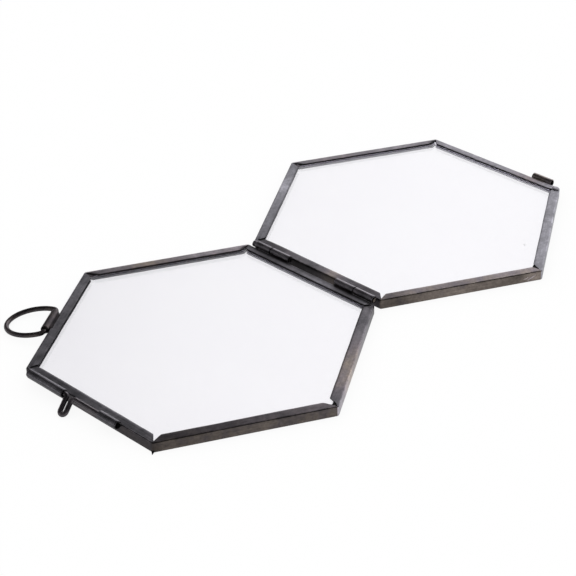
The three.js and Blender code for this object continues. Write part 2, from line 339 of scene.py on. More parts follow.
class Shape:
    """Points in millimetres with a shade each, and faces with a drawing of each corner along and across."""

    def __init__(self):
        self.points = []
        self.shades = []
        self.faces = []
        self.drawings = []

    def point(self, place, **shade):
        self.points.append(Vector(place))
        self.shades.append(shade)
        return len(self.points) - 1

    def face(self, corners, drawing, flip=False):
        self.faces.append(tuple(reversed(corners) if flip else corners))
        self.drawings.append(tuple(reversed(drawing) if flip else drawing))

    def flat_face(self, corners, flip=False):
        """A face that is drawn as it looks from above."""
        self.face(corners, [self.points[corner].xy for corner in corners], flip)

    def cap(self, ring, flip=False):
        self.face(ring, [UNDRAWN] * len(ring), flip)

    def solid(self, rings, runs, across, flip=False):
        """Join closed rings and close both ends."""
        self.skin(rings, runs, across, flip)
        self.cap(rings[0], not flip)
        self.cap(rings[-1], flip)

    def skin(self, rings, runs, across, flip=False):
        """Join closed rings: the place of each along, and where each step round starts and ends across."""
        for (one, left), (two, right) in pairwise(zip(rings, runs)):
            for first, (low, high) in enumerate(across):
                second = (first + 1) % len(one)
                self.face((one[first], one[second], two[second], two[first]),
                          ((left, low), (left, high), (right, high), (right, low)), flip)


def even_steps(count, width=1):
    """Where each of some even steps starts and ends."""
    return [(step * width, (step + 1) * width) for step in range(count)]


def link(name, data):
    """A new object in the scene."""
    thing = bpy.data.objects.new(name, data)
    bpy.context.scene.collection.objects.link(thing)
    return thing


def make_piece(name, shape, materials, body, nodes=(), smooth=True):
    """Turn a shape into a piece that rides on a body and, where nodes are named, stands for them."""
    mesh = bpy.data.meshes.new(name)
    mesh.from_pydata([place * MM for place in shape.points], [], shape.faces)
    layer = mesh.uv_layers.new(name="strip")
    for polygon, drawing in zip(mesh.polygons, shape.drawings):
        polygon.use_smooth = smooth
        for loop, (along, across) in zip(polygon.loop_indices, drawing):
            layer.data[loop].uv = (along * MM, across * MM)
    for shade in SHADE_NAMES:
        values = [entry.get(shade, 0.0) for entry in shape.shades]
        mesh.attributes.new(shade, "FLOAT", "POINT").data.foreach_set("value", values)
    for material in materials:
        mesh.materials.append(material)
    piece = link(name, mesh)
    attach(piece, body)
    if nodes:
        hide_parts(*nodes)
    return piece


# Tubes, as the imported model places them
# Reach of the dark mark round each tube on its strip: heat tint and the tube's painted shade together
HEAT_AND_SHADE_REACH = 3.2
SLANTED = 0.5


@dataclass
class Tube:
    """A rolled tube on a leaf: its axis's way, which way its leaf lies, its mark of heat and painted shade,
    its look.
    """
    node: str
    leaf: Leaf
    along: Vector
    toward_leaf: Vector
    heat: float
    look: Look
    pinched: bool = False

    def __post_init__(self):
        low, high = node_box(self.node)
        self.radius = (high.z - low.z) / 2
        self.length = high.y - low.y
        if abs(self.along.x) > SLANTED:
            self.length = (high.x - low.x - 2 * self.radius * abs(self.along.y)) / abs(self.along.x)
        self.start = (low + high) / 2 - self.along * self.length / 2
        self.handed = self.along.dot(self.toward_leaf.cross(UP)) > 0


RING_AXIS = Vector(joint("ring_swing")["axis"]).normalized()
# Round pieces are painted lighter on top and darker below, as painted light and shade
KNUCKLE_LOOK = Look(0.37, 0.09, 0.06, (0.2, 0.5), painted_foot_shading=1.0)
RING_TUBE_LOOK = Look(0.14, 0.06, 0.05, (0.6, 0.6))
LATCH_LOOK = Look(0.29, 0.065, 0.1, (0.1, 0.2), painted_foot_shading=1.1)
CATCH_LOOK = Look(0.48, 0.36, 0.25, (0.8, 0.8))
ring_barrel = Tube("ring_barrel", base, RING_AXIS, RING_AXIS.cross(UP), 0.6, RING_TUBE_LOOK)
tubes = [
    Tube("base_knuckle_far", base, NEARWARD, -RIGHT, 1.0, KNUCKLE_LOOK),
    Tube("base_knuckle_near", base, NEARWARD, -RIGHT, 1.0, KNUCKLE_LOOK),
    Tube("cover_knuckle_far", cover, NEARWARD, RIGHT, 0.35, KNUCKLE_LOOK, pinched=True),
    Tube("cover_knuckle_near", cover, NEARWARD, RIGHT, 0.35, KNUCKLE_LOOK),
    ring_barrel,
    Tube("latch_tail_barrel", base, NEARWARD, RIGHT, 0.3, LATCH_LOOK),
    Tube("latch_head_barrel", base, NEARWARD, RIGHT, 0.3, LATCH_LOOK),
    Tube("catch_barrel", cover, NEARWARD, -RIGHT, 0.1, CATCH_LOOK),
]


def heat_and_shade_at(place, leaf):
    """How dark the tubes make a point of their leaf's strip, from 0 to 1: soldering heat and painted shade.
    """
    strongest = 0.0
    for tube in tubes:
        if tube.leaf is leaf:
            offset = place - tube.start
            run = clamp(offset.dot(tube.along), tube.length)
            distance = (offset - tube.along * run).length - tube.radius
            strongest = max(strongest, tube.heat * math.exp(-(max(distance, 0) / HEAT_AND_SHADE_REACH) ** 2))
    return strongest


# Channel strips
# Painted shade and light on the strips: the top flanges' cut edges are painted nearly black, their rims
# darker near the ends of some sides, their undersides dark, the bottom flanges lighter toward their back, and
# a painted shadow lies on a flange toward its fold out to the shadow reach.
CUT_EDGE_PAINTED_SHADE = 0.018
BOTTOM_CUT = 0.6
INSIDE_BACK_PAINTED_LIGHT = 2.0
UNDER_TOP_PAINTED_SHADE = 0.2
RIM_EASE = 1.6
END_RIM = 2.6
SHADOW_REACH = 2.6


def section_rows(height):
    """The folded section as inset and height, from the top flange's inner edge round to the bottom one's."""
    roll_start = FLANGE_WIDTH - ROLL_WIDTH
    insets = [blend(FLANGE_WIDTH, roll_start, share) for share in shares(ROLL_STEPS)[:-1]]
    insets += [blend(roll_start, SHALLOW_NOTCH, share) for share in shares(FLAT_STEPS)]
    top = [(inset, height) for inset in insets + [DEEP_NOTCH]]
    for share in shares(FOLD_STEPS):
        turn = QUARTER * share
        top.append((FOLD_RADIUS * (1 - math.sin(turn)), height - FOLD_RADIUS * (1 - math.cos(turn))))
    wall = [(0.0, blend(height - FOLD_RADIUS, FOLD_RADIUS, share)) for share in shares(WALL_STEPS)[1:-1]]
    return top + wall + [(inset, height - rise) for inset, rise in reversed(top)]


def roll_share(inset):
    """How far into the turned-down inner edge of a flange an inset is, from 0 to 1."""
    return max((inset - FLANGE_WIDTH) / ROLL_WIDTH + 1, 0)


def stretched(inset, width):
    """An inset of the standard section on a flange of another width."""
    return inset + max(inset - SHALLOW_NOTCH, 0) * (width - FLANGE_WIDTH) / (FLANGE_WIDTH - SHALLOW_NOTCH)


@dataclass
class StripEnd:
    """How a side of a strip ends at a corner: where its wall stops and how much more its flanges lose."""
    wall_stop: float
    top_start: float
    top_cut: tuple
    bottom_cut: tuple
    lift: float = 0.0

    def cut(self, inset, is_top, seed):
        """Length that a flange loses at an inset, beyond the stop of its wall."""
        start = self.top_start if is_top else SHALLOW_NOTCH
        depth = inset - start
        if depth <= TINY:
            return 0.0
        share = depth / (FLANGE_WIDTH - start)
        lost = depth * MITRE + blend(*(self.top_cut if is_top else self.bottom_cut), share)
        if self.lift:
            return lost
        uneven = noise.noise(Vector((inset * RAGGED_PITCH, seed, RAGGED_ROW)))
        return lost + RAGGED * uneven * min(1, RAGGED_ONSET * share)


# The end that wraps a seam corner and lies over the other strip, and the end that is tucked under it
SEAM_BACK = SEAM_WRAP + SEAM_GAP
OVER_END = StripEnd(ARC_START, SHALLOW_NOTCH, (0, SEAM_CUT), (0, SEAM_CUT), SEAM_LIFT)
UNDER_END = StripEnd(ARC_START + SEAM_BACK, SHALLOW_NOTCH, (-SEAM_BACK - SEAM_LAP, -SEAM_BACK - SEAM_LAP),
                     (-SEAM_WRAP, -SEAM_WRAP - SEAM_CUT / 2), -SEAM_DIP)


def notch_end(notch, part):
    """The end of the side before or after a notch."""
    cut_back = getattr(notch, part)
    step = notch.step if part == "before" else 0.0
    return StripEnd(ARC_START, notch.start, (step, cut_back), (0, cut_back * notch.bottom))


@dataclass
class Column:
    """The places across a strip at a point of its run, up to a limit of the top and of the bottom inset.

    The look is taken at a distance along its side, and the end says how near the side's end is, where the rim
    is darkened with painted shade.
    """
    run: float
    limits: tuple
    place: object
    look: Look
    distance: float
    end: float = 0.0


def side_column(leaf, corners, distance, ends, run, look, seed):
    """A column on a straight side, where the flanges' ends are drawn back at both corners."""
    origin, along, inward = leaf.side_from(corners)
    from_start = distance - ends[0].wall_stop
    from_end = leaf.side - ends[1].wall_stop - distance
    lift = ends[0].lift * fade(from_start, LIFT_FADE) + ends[1].lift * fade(from_end, LIFT_FADE)

    def cut_shift(inset, is_top):
        shift = ends[0].cut(inset, is_top, seed + 1) * max(1 - from_start / CUT_FADE, 0)
        return shift - ends[1].cut(inset, is_top, seed + 2) * max(1 - from_end / CUT_FADE, 0)

    def place(inset, rise):
        is_top = rise > leaf.height / 2
        share = max(inset - FOLD_RADIUS, 0) / (FLANGE_WIDTH - FOLD_RADIUS)
        rolled = look.roll * ROLL_DROP * roll_share(inset) ** 2
        inset = stretched(inset, look.width if is_top else BOTTOM_WIDTH)
        sway = EDGE_WAVE * wave(run, EDGE_WAVE_LENGTH, seed + 3) * share ** 2
        if inset < FOLD_RADIUS:
            sway += WALL_WAVE * wave(run, WAVE_LENGTH, seed + 4) * math.sin(math.pi * rise / leaf.height)
        bow = FLANGE_WAVE * wave(run, WAVE_LENGTH, seed + 5) * share
        if is_top:
            bow += clamp((inset - SHALLOW_NOTCH) / TUCK_REACH) * lift - rolled
        else:
            bow = abs(bow) + rolled + GROUND_GAP
        ahead = distance + cut_shift(inset, is_top)
        return origin + along * ahead + inward * (inset + sway) + UP * (rise + bow)

    # Painted shade on the rim near both ends of a side, where its look asks for it
    end = max(1 - min(from_start, from_end) / END_RIM, 0) if look.painted_shade_ends else 0.0
    return Column(run, (FLANGE_WIDTH, FLANGE_WIDTH), place, look, distance, end)


def corner_column(leaf, corners, turned, start, run, look, distance):
    """A column on the bend at the end of a side, given how far round the bend it is."""
    _, along, inward = leaf.side_from(corners)
    pivot = leaf.corner(corners[1]) - along * ARC_START + inward * CORNER_RADIUS
    outward = Matrix.Rotation(-TURN * turned, 3, "Z") @ -inward

    def place(inset, rise):
        return pivot + outward * (CORNER_RADIUS - inset) + UP * rise

    return Column(run, (start, SHALLOW_NOTCH), place, look, distance)


def wrap_column(leaf, corners, ahead, run, look, distance):
    """A column of the short tongue that wraps past a seam corner onto the next strip's side."""
    origin, along, inward = leaf.side_from(corners)

    def place(inset, rise):
        return origin + along * ahead + inward * inset + UP * rise

    return Column(run, (SHALLOW_NOTCH, SHALLOW_NOTCH), place, look, distance)


def side_ends(leaf, corners, wraps):
    """How a side ends at its first and its last corner."""
    seam_end = OVER_END if wraps else UNDER_END
    return [notch_end(leaf.notches[index], part) if index in leaf.notches else seam_end
            for index, part in zip(corners, ("after", "before"))]


def strip_columns(leaf, path, wraps, looks, seed):
    """All columns of a strip in order, from one end round to the other."""
    columns = []
    run = 0.0
    around = [(path[0] + 1) % 6, *path, (path[-1] - 1) % 6]

    def bend(corners, start, look, distance, first=1):
        for turned in shares(CORNER_STEPS)[first:-1]:
            here = run + ARC_LENGTH * turned
            columns.append(corner_column(leaf, corners, turned, start, here, look, distance))

    if wraps:
        for share in shares(WRAP_STEPS)[:-1]:
            on = SEAM_WRAP * share
            ahead = leaf.side - ARC_START - SEAM_WRAP + on
            columns.append(wrap_column(leaf, around[:2], ahead, on, looks[0], 0))
        run = SEAM_WRAP
        bend(around[:2], SHALLOW_NOTCH, looks[0], 0, first=0)
        run += ARC_LENGTH
    for number, corners in enumerate(pairwise(path)):
        look = looks[number]
        ends = side_ends(leaf, corners, wraps)
        first = ends[0].wall_stop
        last = leaf.side - ends[1].wall_stop
        for share in shares(SIDE_STEPS):
            distance = blend(first, last, share)
            here = run + distance - first
            columns.append(side_column(leaf, corners, distance, ends, here, look, seed + number * SIDE_SEED))
        run += last - first
        if corners[1] in leaf.notches:
            bend(corners, leaf.notches[corners[1]].start, look, leaf.side)
            run += ARC_LENGTH
    if wraps:
        bend(around[-3:-1], SHALLOW_NOTCH, looks[-1], leaf.side)
        run += ARC_LENGTH
        for share in shares(WRAP_STEPS):
            on = SEAM_WRAP * share
            columns.append(wrap_column(leaf, around[-2:], ARC_START + on, run + on, looks[-1], leaf.side))
    return columns


def strip_shade(leaf, column, place, inset, is_top):
    """Shades of a point of a strip: on its outer face, inside and on a cut edge."""
    look = column.look
    flange, wall, warm, wall_warm = look.at(column.distance)
    on_wall = 1 - min(inset / FOLD_RADIUS, 1)
    on_fold = is_top and 0 < inset <= FOLD_RADIUS
    tone = blend(flange, wall, on_wall)
    # Painted shade on the top flange's inner edge, and on its rim near the side's ends
    if is_top and inset > DEEP_NOTCH:
        tone *= blend(1.0, look.rim_painted_shade, min(RIM_EASE * max(roll_share(inset), column.end), 1))
    # Painted shadow on the top flange toward its fold
    if is_top:
        tone *= blend(look.shadow, 1.0, min(inset / SHADOW_REACH, 1))
    # Painted shade under the top flange, painted light toward the back of the bottom flange
    lit = UNDER_TOP_PAINTED_SHADE if is_top else blend(INSIDE_BACK_PAINTED_LIGHT, 1.0, inset / FLANGE_WIDTH)
    # The fold gets its painted highlight here
    return {
        "tone": tone * (look.fold_highlight if on_fold else 1.0),
        "inside": look.inside * lit,
        "cut": CUT_EDGE_PAINTED_SHADE if is_top else look.inside * BOTTOM_CUT,
        "warm": blend(warm if is_top else 0.0, wall_warm, on_wall),
        "heat": heat_and_shade_at(place, leaf),
        "edge": 1.0 if on_fold else 0.0,
    }


def strip_shape(leaf, path, wraps, looks, seed):
    """The outer face of a folded strip, as a sheet."""
    shape = Shape()
    rows = section_rows(leaf.height)
    across = [0.0]
    for first, second in pairwise(rows):
        across.append(across[-1] + math.dist(first, second))
    grid = []
    for column in strip_columns(leaf, path, wraps, looks, seed):
        line = []
        for inset, rise in rows:
            is_top = rise > leaf.height / 2
            if inset > column.limits[0 if is_top else 1] + TINY:
                line.append(None)
                continue
            place = column.place(inset, rise)
            line.append(shape.point(place, **strip_shade(leaf, column, place, inset, is_top)))
        grid.append((column.run, line))
    for (left, one), (right, two) in pairwise(grid):
        for low, high in pairwise(range(len(rows))):
            corners = (one[low], two[low], two[high], one[high])
            if None not in corners:
                shape.face(corners, ((left, across[low]), (right, across[low]),
                                     (right, across[high]), (left, across[high])))
    return shape


def add_strip(leaf, node, path, wraps, seed, materials):
    """A folded strip with its thickness and rounded edges."""
    shape = strip_shape(leaf, path, wraps, STRIP_LOOKS[node], seed)
    piece = make_piece(node + "_sheet", shape, materials, leaf.body, [node])
    thickness = piece.modifiers.new("sheet", "SOLIDIFY")
    thickness.thickness = SHEET * MM
    thickness.offset = -1
    thickness.use_even_offset = True
    thickness.material_offset = 1
    thickness.material_offset_rim = 2
    bevel = piece.modifiers.new("rounded_edges", "BEVEL")
    bevel.width = EDGE_BEVEL * MM
    bevel.segments = 2
    bevel.limit_method = "ANGLE"
    bevel.angle_limit = BEVEL_ANGLE
    bevel.harden_normals = True


# Glass panes
GLASS_CHAMFER = 0.25
GLASS_CORNER_STEPS = 4


def glass_outline(leaf, inset, trim):
    """Outline of a pane with eased corners, anticlockwise."""
    outline = []
    reach = leaf.side - 2 * inset * MITRE - CORNER_RADIUS / math.cos(TURN / 2)
    for index in range(6):
        angle = corner_angle(index)
        for share in shares(GLASS_CORNER_STEPS):
            way = level_way(angle + TURN * (share - 0.5))
            outline.append(level_way(angle) * reach + way * (CORNER_RADIUS - trim))
    return outline


def add_glass(leaf, material):
    """A pane of float glass with ground edges."""
    low, high = node_box(leaf.glass)
    inset = (leaf.side * math.sqrt(3) - (high.x - low.x)) / 2
    edges = ((low.z, GLASS_CHAMFER), (low.z + GLASS_CHAMFER, 0))
    edges += ((high.z - GLASS_CHAMFER, 0), (high.z, GLASS_CHAMFER))
    shape = Shape()
    rings = []
    for rise, trim in edges:
        level = leaf.centre + UP * rise
        rings.append([shape.point(level + spot) for spot in glass_outline(leaf, inset, trim)])
    shape.skin(rings, [0] * len(rings), [UNDRAWN] * len(rings[0]))
    shape.flat_face(rings[-1])
    shape.flat_face(rings[0], flip=True)
    make_piece(leaf.glass + "_pane", shape, [material], leaf.body, [leaf.glass], smooth=False)


# Rolled tubes
TUBE_WALL = 0.4
TUBE_LEAST_WALL = 0.05
TUBE_SLIT = math.radians(16)
TUBE_ROUND = 0.3
TUBE_ROUND_STEPS = 3
TUBE_LEAST_STEPS = 4
TUBE_STEPS_PER_MM = 2
# How dark the tubes' ends are painted: painted shade in their open mouths
TUBE_END_PAINTED_SHADE = 0.3
TUBE_END_REACH = 0.35
TUBE_END_HEAT = 0.7
TUBE_HEAT_REACH = 1.6
TUBE_LEAF_HEAT = 0.5
TUBE_DENT = 0.03
TUBE_DENT_LENGTH = 5.0
GIRTH_STEP = 0.2
PINCH_REACH = 1.7
PINCH_DEPTH = 0.55
PINCH_EASE = 0.3
PINCH_UNEVEN = 0.5
PINCH_LENGTH = 0.9
ROUND_DARK = 0.15
ROUND_BRIGHT = 0.7
ROUND_FOOT = 0.1
ROUND_FOOT_REACH = 0.6


def round_tone(look, rise):
    """Tone of a round piece where its outward direction rises this much: painted light on top, painted shade
    below.
    """
    painted_top_light = 1 - fade(rise - ROUND_DARK, ROUND_BRIGHT - ROUND_DARK)
    # The foot is painted darker on some pieces and lighter on others: painted shade and painted light
    painted_foot_shading = clamp((ROUND_FOOT - rise) / ROUND_FOOT_REACH)
    return blend(look.wall, look.flange, painted_top_light) * blend(1.0, look.painted_foot_shading, painted_foot_shading)


def eased_end(radius, steps):
    """A rounded end in steps: how far along each one is, and how much thinner the piece is there."""
    angles = [QUARTER * share for share in shares(steps)]
    return [(radius * (1 - math.cos(angle)), radius * (1 - math.sin(angle))) for angle in angles]


def tube_stations(tube):
    """Places along a tube, each with how much thinner it is there."""
    eased = eased_end(TUBE_ROUND, TUBE_ROUND_STEPS)
    count = max(TUBE_LEAST_STEPS, int(TUBE_STEPS_PER_MM * tube.length))
    plain = [(blend(TUBE_ROUND, tube.length - TUBE_ROUND, share), 0.0) for share in shares(count)[1:-1]]
    return eased + plain + [(tube.length - ahead, trim) for ahead, trim in reversed(eased)]


def tube_dent(tube, run, seed):
    """How deep a tube is dented or pinched at a place along it."""
    swell = TUBE_DENT * wave(run, TUBE_DENT_LENGTH, seed)
    if tube.pinched:
        uneven = 1 + PINCH_UNEVEN * wave(run, PINCH_LENGTH, seed)
        swell -= PINCH_DEPTH * fade(max(run - PINCH_REACH, 0), PINCH_EASE) * uneven
    return max(-swell, 0)


def add_tube(tube, material, seed):
    """A tube rolled from sheet, its slit turned to the leaf that it is soldered to, painted light on top and
    shade below.
    """
    shape = Shape()
    look = tube.look
    inner = tube.radius - TUBE_WALL
    angles = [blend(TUBE_SLIT / 2, 2 * math.pi - TUBE_SLIT / 2, share) for share in shares(TUBE_STEPS)]
    stations = tube_stations(tube)
    rings = []
    for run, trim in stations:
        outer = max(tube.radius - trim - tube_dent(tube, run, seed), inner + TUBE_LEAST_WALL)
        end = min(run, tube.length - run)
        # Painted shade toward the tube's open ends
        end_shade = blend(1.0, TUBE_END_PAINTED_SHADE, fade(end, TUBE_END_REACH))
        ring = []
        for radius, order in ((outer, angles), (inner, reversed(angles))):
            for angle in order:
                spoke = tube.toward_leaf * math.cos(angle) + UP * math.sin(angle)
                # Darker toward the ends and toward the leaf: heat tint and painted shade in one mark
                heat = TUBE_END_HEAT * fade(end, TUBE_HEAT_REACH) + TUBE_LEAF_HEAT * max(math.cos(angle), 0)
                ring.append(shape.point(tube.start + tube.along * run + spoke * radius,
                                        tone=round_tone(look, spoke.z) * end_shade, warm=look.warmth[0],
                                        inside=look.inside, heat=heat))
        rings.append(ring)
    girth = [tube.radius * angle for angle in angles]
    girth += [girth[-1] + TUBE_WALL + step * GIRTH_STEP for step in range(len(angles))]
    runs = [run for run, _ in stations]
    shape.skin(rings, runs, [(low, low + GIRTH_STEP) for low in girth], not tube.handed)
    for ring, flip in ((rings[0], tube.handed), (rings[-1], not tube.handed)):
        for first in range(TUBE_STEPS):
            corners = (ring[first], ring[first + 1], ring[-2 - first], ring[-1 - first])
            shape.face(corners, [(0, girth[first])] * 4, flip)
    make_piece(tube.node + "_rolled", shape, [material], tube.leaf.body, [tube.node])


# Solder along the tubes
SOLDER_GAP = 0.15
BEAD_STEPS = 26
BEAD_CURVE = 5
BEAD_CLIMB = 0.3
BEAD_CLIMB_LIMITS = (-0.9, 0.95)
BEAD_SPREAD = 0.4
BEAD_PROUD = 0.01
BEAD_FOOT = 0.3
BEAD_FOOT_ANGLE = math.radians(-62)
BEAD_HOLLOW = (-0.25, 0.35)
BEAD_SUNK = 0.25
BEAD_LIP = 0.1
BEAD_UNDER = 0.2
BEAD_IN_TUBE = 0.3
BEAD_CORE_DROP = 0.5
BEAD_END = 0.3
BEAD_TAPER = 6
BEAD_TIP = 0.35
BEAD_UNEVEN = 0.35
BEAD_WAVE_LENGTH = 4.0
BEAD_HEAT = 0.2


def curve(first, bend, last):
    """A smooth bend from the first place to the last, drawn toward the one between."""
    return [tuple((1 - share) ** 2 * one + 2 * share * (1 - share) * two + share ** 2 * three
                  for one, two, three in zip(first, bend, last)) for share in shares(BEAD_CURVE)]


def bead_section(tube, flange_level, swell):
    """Outline of the solder between a tube and its strip: across to the leaf, and up from the tube's axis."""
    wall = tube.radius + SOLDER_GAP
    least, most = BEAD_CLIMB_LIMITS
    climb = math.asin(max(min((flange_level + BEAD_CLIMB * swell) / tube.radius, most), least))
    tube_top, tube_foot = [(tube.radius * math.cos(angle), tube.radius * math.sin(angle))
                           for angle in (climb, BEAD_FOOT_ANGLE)]
    flange_top = (wall + FOLD_RADIUS + BEAD_SPREAD * swell, flange_level + BEAD_PROUD)
    wall_foot = (wall, tube_foot[1] - BEAD_FOOT * swell)
    hidden = [
        (flange_top[0] - BEAD_LIP, flange_level - BEAD_UNDER),
        (wall + BEAD_SUNK, flange_level - FOLD_RADIUS - BEAD_LIP),
        (wall + BEAD_SUNK, wall_foot[1]),
    ]
    hollow = (wall + BEAD_HOLLOW[0], tube_foot[1] + BEAD_HOLLOW[1])
    above = curve(tube_top, (wall, flange_level), flange_top)
    below = curve(wall_foot, hollow, tube_foot)
    return above + hidden + below + [(tube.radius - BEAD_IN_TUBE, 0.0)]


def add_bead(tube, material, seed):
    """The solder that holds a tube to its strip."""
    shape = Shape()
    flange_level = tube.leaf.height - tube.start.z
    core = (tube.radius + SOLDER_GAP, flange_level - BEAD_CORE_DROP)
    rings = []
    runs = []
    for share in shares(BEAD_STEPS):
        run = blend(BEAD_END, tube.length - BEAD_END, share)
        taper = min(1.0, BEAD_TAPER * min(share, 1 - share) + BEAD_TIP)
        swell = (1 + BEAD_UNEVEN * wave(run, BEAD_WAVE_LENGTH, seed)) * taper
        ring = []
        for spot in bead_section(tube, flange_level, swell):
            across, rise = [blend(inside, outside, taper ** 0.5) for inside, outside in zip(core, spot)]
            place = tube.start + tube.along * run + tube.toward_leaf * across + UP * rise
            ring.append(shape.point(place, tone=tube.look.inside, warm=tube.look.warmth[1], heat=BEAD_HEAT))
        rings.append(ring)
        runs.append(run)
    shape.solid(rings, runs, even_steps(len(rings[0])), tube.handed)
    make_piece(tube.node + "_solder", shape, [material], tube.leaf.body)


# Wire pieces
pin_low, pin_high = node_box("hinge_pin_far")
wire_radius = (pin_high.z - pin_low.z) / 2
WIRE_ROUND = 0.3
WIRE_END_STEPS = 4
WIRE_SPACING = 0.8
BOLT_SPACING = 0.6
# The bolt and the ring are painted darker at their foot: painted shade
BOLT_LOOK = Look(0.24, 0.06, 0.05, (0.4, 0.4), painted_foot_shading=0.5)
RING_LOOK = Look(0.17, 0.045, 0.05, (0.6, 0.6), painted_foot_shading=0.5)
# The pins are painted nearly black: painted shade inside the tubes' open ends
PIN_LOOKS = {
    "hinge_pin_far": Look(0.03, 0.03, 0.03, (0.6, 0.6)),
    "hinge_pin_near": Look(0.07, 0.07, 0.03, (0.9, 0.9), painted_foot_shading=1.0),
}


def wire_sections(path):
    """Sections of a wire along a path: their middle, way, size and place along, with eased ends."""
    runs = [0.0]
    for before, here in pairwise(path):
        runs.append(runs[-1] + (here - before).length)
    length = runs[-1]
    ways = [(after - before).normalized() for before, after in zip(path[:1] + path, path[1:] + path[-1:])]
    eased = eased_end(WIRE_ROUND, WIRE_END_STEPS)
    sections = [(path[0] + ways[0] * ahead, ways[0], wire_radius - trim, ahead) for ahead, trim in eased]
    sections += [(place, way, wire_radius, run) for place, way, run in zip(path, ways, runs)
                 if WIRE_ROUND < run < length - WIRE_ROUND]
    sections += [(path[-1] - ways[-1] * back, ways[-1], wire_radius - trim, length - back)
                 for back, trim in reversed(eased)]
    return sections


def add_wire(node, path, normal, body, look, material):
    """A round wire along a flat path."""
    shape = Shape()
    rings = []
    runs = []
    for place, way, size, run in wire_sections(path):
        side = normal.cross(way).normalized()
        ring = []
        for angle in turns(WIRE_STEPS):
            spoke = side * math.cos(angle) + normal * math.sin(angle)
            ring.append(shape.point(place + spoke * size, tone=round_tone(look, spoke.z), warm=look.warmth[0],
                                    inside=look.inside))
        rings.append(ring)
        runs.append(run)
    shape.skin(rings, runs, even_steps(WIRE_STEPS, 2 * math.pi * wire_radius / WIRE_STEPS))
    shape.cap(rings[0], flip=True)
    shape.face(rings[-1], [(runs[-1], 0)] * WIRE_STEPS)
    make_piece(node + "_wire", shape, [material], body, [node])


def straight(first, last, spacing):
    """Evenly spaced points from the first to the last."""
    count = max(1, int((last - first).length / spacing))
    return [blend(first, last, share) for share in shares(count)]


def bent_path(corners, radii):
    """Points along a path of straight runs joined by bends of given radii at its inner corners."""
    path = [corners[0]]
    for before, here, after, radius in zip(corners, corners[1:], corners[2:], radii):
        into = (here - before).normalized()
        out = (after - here).normalized()
        turn = into.angle(out)
        start = here - into * (radius * math.tan(turn / 2))
        centre = here + (out - into).normalized() * (radius / math.cos(turn / 2))
        axis = into.cross(out).normalized()
        path += straight(path[-1], start, BOLT_SPACING)[1:]
        for share in shares(BEND_STEPS)[1:]:
            path.append(centre + Matrix.Rotation(turn * share, 3, axis) @ (start - centre))
    return path + straight(path[-1], corners[-1], BOLT_SPACING)[1:]


def pin_path(node):
    """Centre line of a hinge pin."""
    low, high = node_box(node)
    middle = (low + high) / 2
    return straight(Vector((middle.x, high.y, middle.z)), Vector((middle.x, low.y, middle.z)), WIRE_SPACING)


# Latch bolt
BOLT_STOP_GAP = 0.4
HANDLE_LEAN = 1.5
HANDLE_HALF_WIDTH = 1.4
HANDLE_TIP_BEND = 1.4
HANDLE_TAIL_BEND = 1.2
HANDLE_HEAD_BEND = 1.8


def bolt_path():
    """Centre line of the bolt, from its tail over the hairpin handle to its head, and its plane's normal."""
    low, high = node_box("latch_bolt")
    tail_low, tail_high = node_box("latch_tail_barrel")
    axis = Vector(((tail_low.x + tail_high.x) / 2, 0, (tail_low.z + tail_high.z) / 2))
    drop = axis.z - wire_radius - low.z
    reach = math.hypot(axis.x - wire_radius - low.x, drop)
    out = Vector((low.x + wire_radius - axis.x, 0, -drop)).normalized()
    tail_leg = tail_low.y - BOLT_STOP_GAP - HANDLE_TAIL_BEND
    head_leg = tail_leg - 2 * HANDLE_HALF_WIDTH
    places = (
        (high.y, 0),
        (tail_leg, 0),
        (tail_leg - HANDLE_LEAN, reach),
        (head_leg - HANDLE_LEAN, reach),
        (head_leg, 0),
        (low.y, 0),
    )
    corners = [Vector((axis.x, along_y, axis.z)) + out * reach_out for along_y, reach_out in places]
    radii = [HANDLE_TAIL_BEND, HANDLE_TIP_BEND, HANDLE_TIP_BEND, HANDLE_HEAD_BEND]
    return bent_path(corners, radii), NEARWARD.cross(out)


# Hanging ring
RING_OVERHANG = 3.4
RING_MIDDLE = 6.3
RING_DEPTH = 11.98
RING_BEND = 2.2
RING_BUTT_GAP = 0.4
HALVINGS = 40


def ring_loop(half, angle):
    """A place on the ring's ellipse, along the barrel and away from it, and the way outward there."""
    place = Vector((half * math.cos(angle), RING_MIDDLE + RING_DEPTH * math.sin(angle)))
    outward = Vector((math.cos(angle) / half, math.sin(angle) / RING_DEPTH)).normalized()
    return place, outward


def ring_bend(half):
    """Where the ellipse meets the bend to the barrel's axis: its angle, and the bend's middle and end."""
    below, above = -math.pi / 3, 0.0
    for _ in range(HALVINGS):
        angle = (below + above) / 2
        place, outward = ring_loop(half, angle)
        if place.y - RING_BEND * outward.y < RING_BEND:
            below = angle
        else:
            above = angle
    place, outward = ring_loop(half, above)
    return above, place.x - RING_BEND * outward.x, math.atan2(outward.y, outward.x)


def ring_path():
    """Centre line of the ring, an ellipse bent into a run through the barrel, and its plane's normal."""
    pivot = Vector(joint("ring_swing")["pos_m"]) / MM
    low, _ = node_box("hanging_ring")
    droop = math.asin((pivot.z - wire_radius - low.z) / (RING_MIDDLE + RING_DEPTH))
    out = UP.cross(RING_AXIS) * math.cos(droop) - UP * math.sin(droop)
    half = ring_barrel.length / 2 + RING_OVERHANG
    loop_angle, bend_middle, bend_end = ring_bend(half)
    flat = straight(Vector((RING_BUTT_GAP / 2, 0)), Vector((bend_middle, 0)), WIRE_SPACING)
    for share in shares(BEND_STEPS)[1:]:
        turn = blend(-QUARTER, bend_end, share)
        flat.append(Vector((bend_middle + RING_BEND * math.cos(turn), RING_BEND * (1 + math.sin(turn)))))
    flat += [ring_loop(half, blend(loop_angle, QUARTER, share))[0] for share in shares(LOOP_STEPS)[1:]]
    flat += [Vector((-spot.x, spot.y)) for spot in reversed(flat[:-1])]
    return [pivot + RING_AXIS * spot.x + out * spot.y for spot in flat], RING_AXIS.cross(out)


